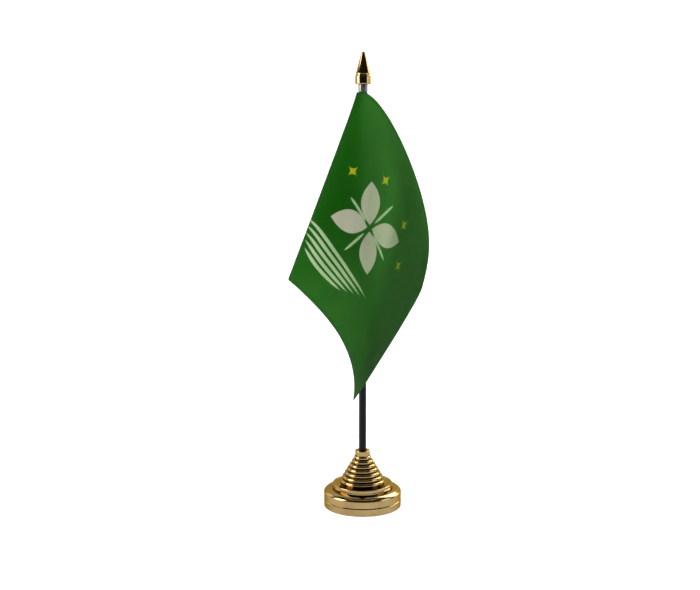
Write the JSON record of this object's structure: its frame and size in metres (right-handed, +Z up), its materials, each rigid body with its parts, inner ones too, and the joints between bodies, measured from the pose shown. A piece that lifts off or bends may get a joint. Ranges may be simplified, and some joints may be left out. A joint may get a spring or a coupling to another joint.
{
  "type": "desk flag stand",
  "caption": "Small cloth flag with a sewn sleeve on a slim pole with a spear finial, standing in a weighted, stepped round base.",
  "frame": {"origin": "centre of the underside of the foot pad, on the pole's axis", "axes": "+Z up along the pole, -Y towards the front of the flag, +X to the right of a viewer in front"},
  "size_m": [0.0839, 0.0698, 0.27],
  "materials": {
    "gold_plastic": "vacuum-metallised gold, mirror gloss",
    "ballast_iron": "blackened, as pressed",
    "foot_felt": "short matted felt",
    "black_plastic": "satin extruded tube",
    "grey_plastic": "glossy smoke grey",
    "flag_cloth": "printed woven polyester",
    "thread": "polyester sewing thread"
  },
  "bodies": {
    "base": {"base_shell": "gold_plastic", "base_ring": "gold_plastic", "ballast_weight": "ballast_iron", "foot_pad": "foot_felt"},
    "staff": {"pole": "black_plastic", "ferrule": "grey_plastic"},
    "flag": {"flag_sleeve": "flag_cloth", "sleeve_stitching": "thread", "flag_cloth": "flag_cloth"},
    "top": {"finial": "gold_plastic"}
  },
  "joints": [
    {"name": "pole_lift", "type": "slide", "parent": "base", "child": "staff", "axis": [0, 0, 1], "range_m": [0, 0.03]},
    {"name": "flag_swivel", "type": "hinge", "parent": "staff", "child": "flag", "pos_m": [0, 0, 0.2], "axis": [0, 0, 1], "continuous": true},
    {"name": "finial_pull", "type": "slide", "parent": "staff", "child": "top", "axis": [0, 0, 1], "range_m": [0, 0.012]}
  ]
}
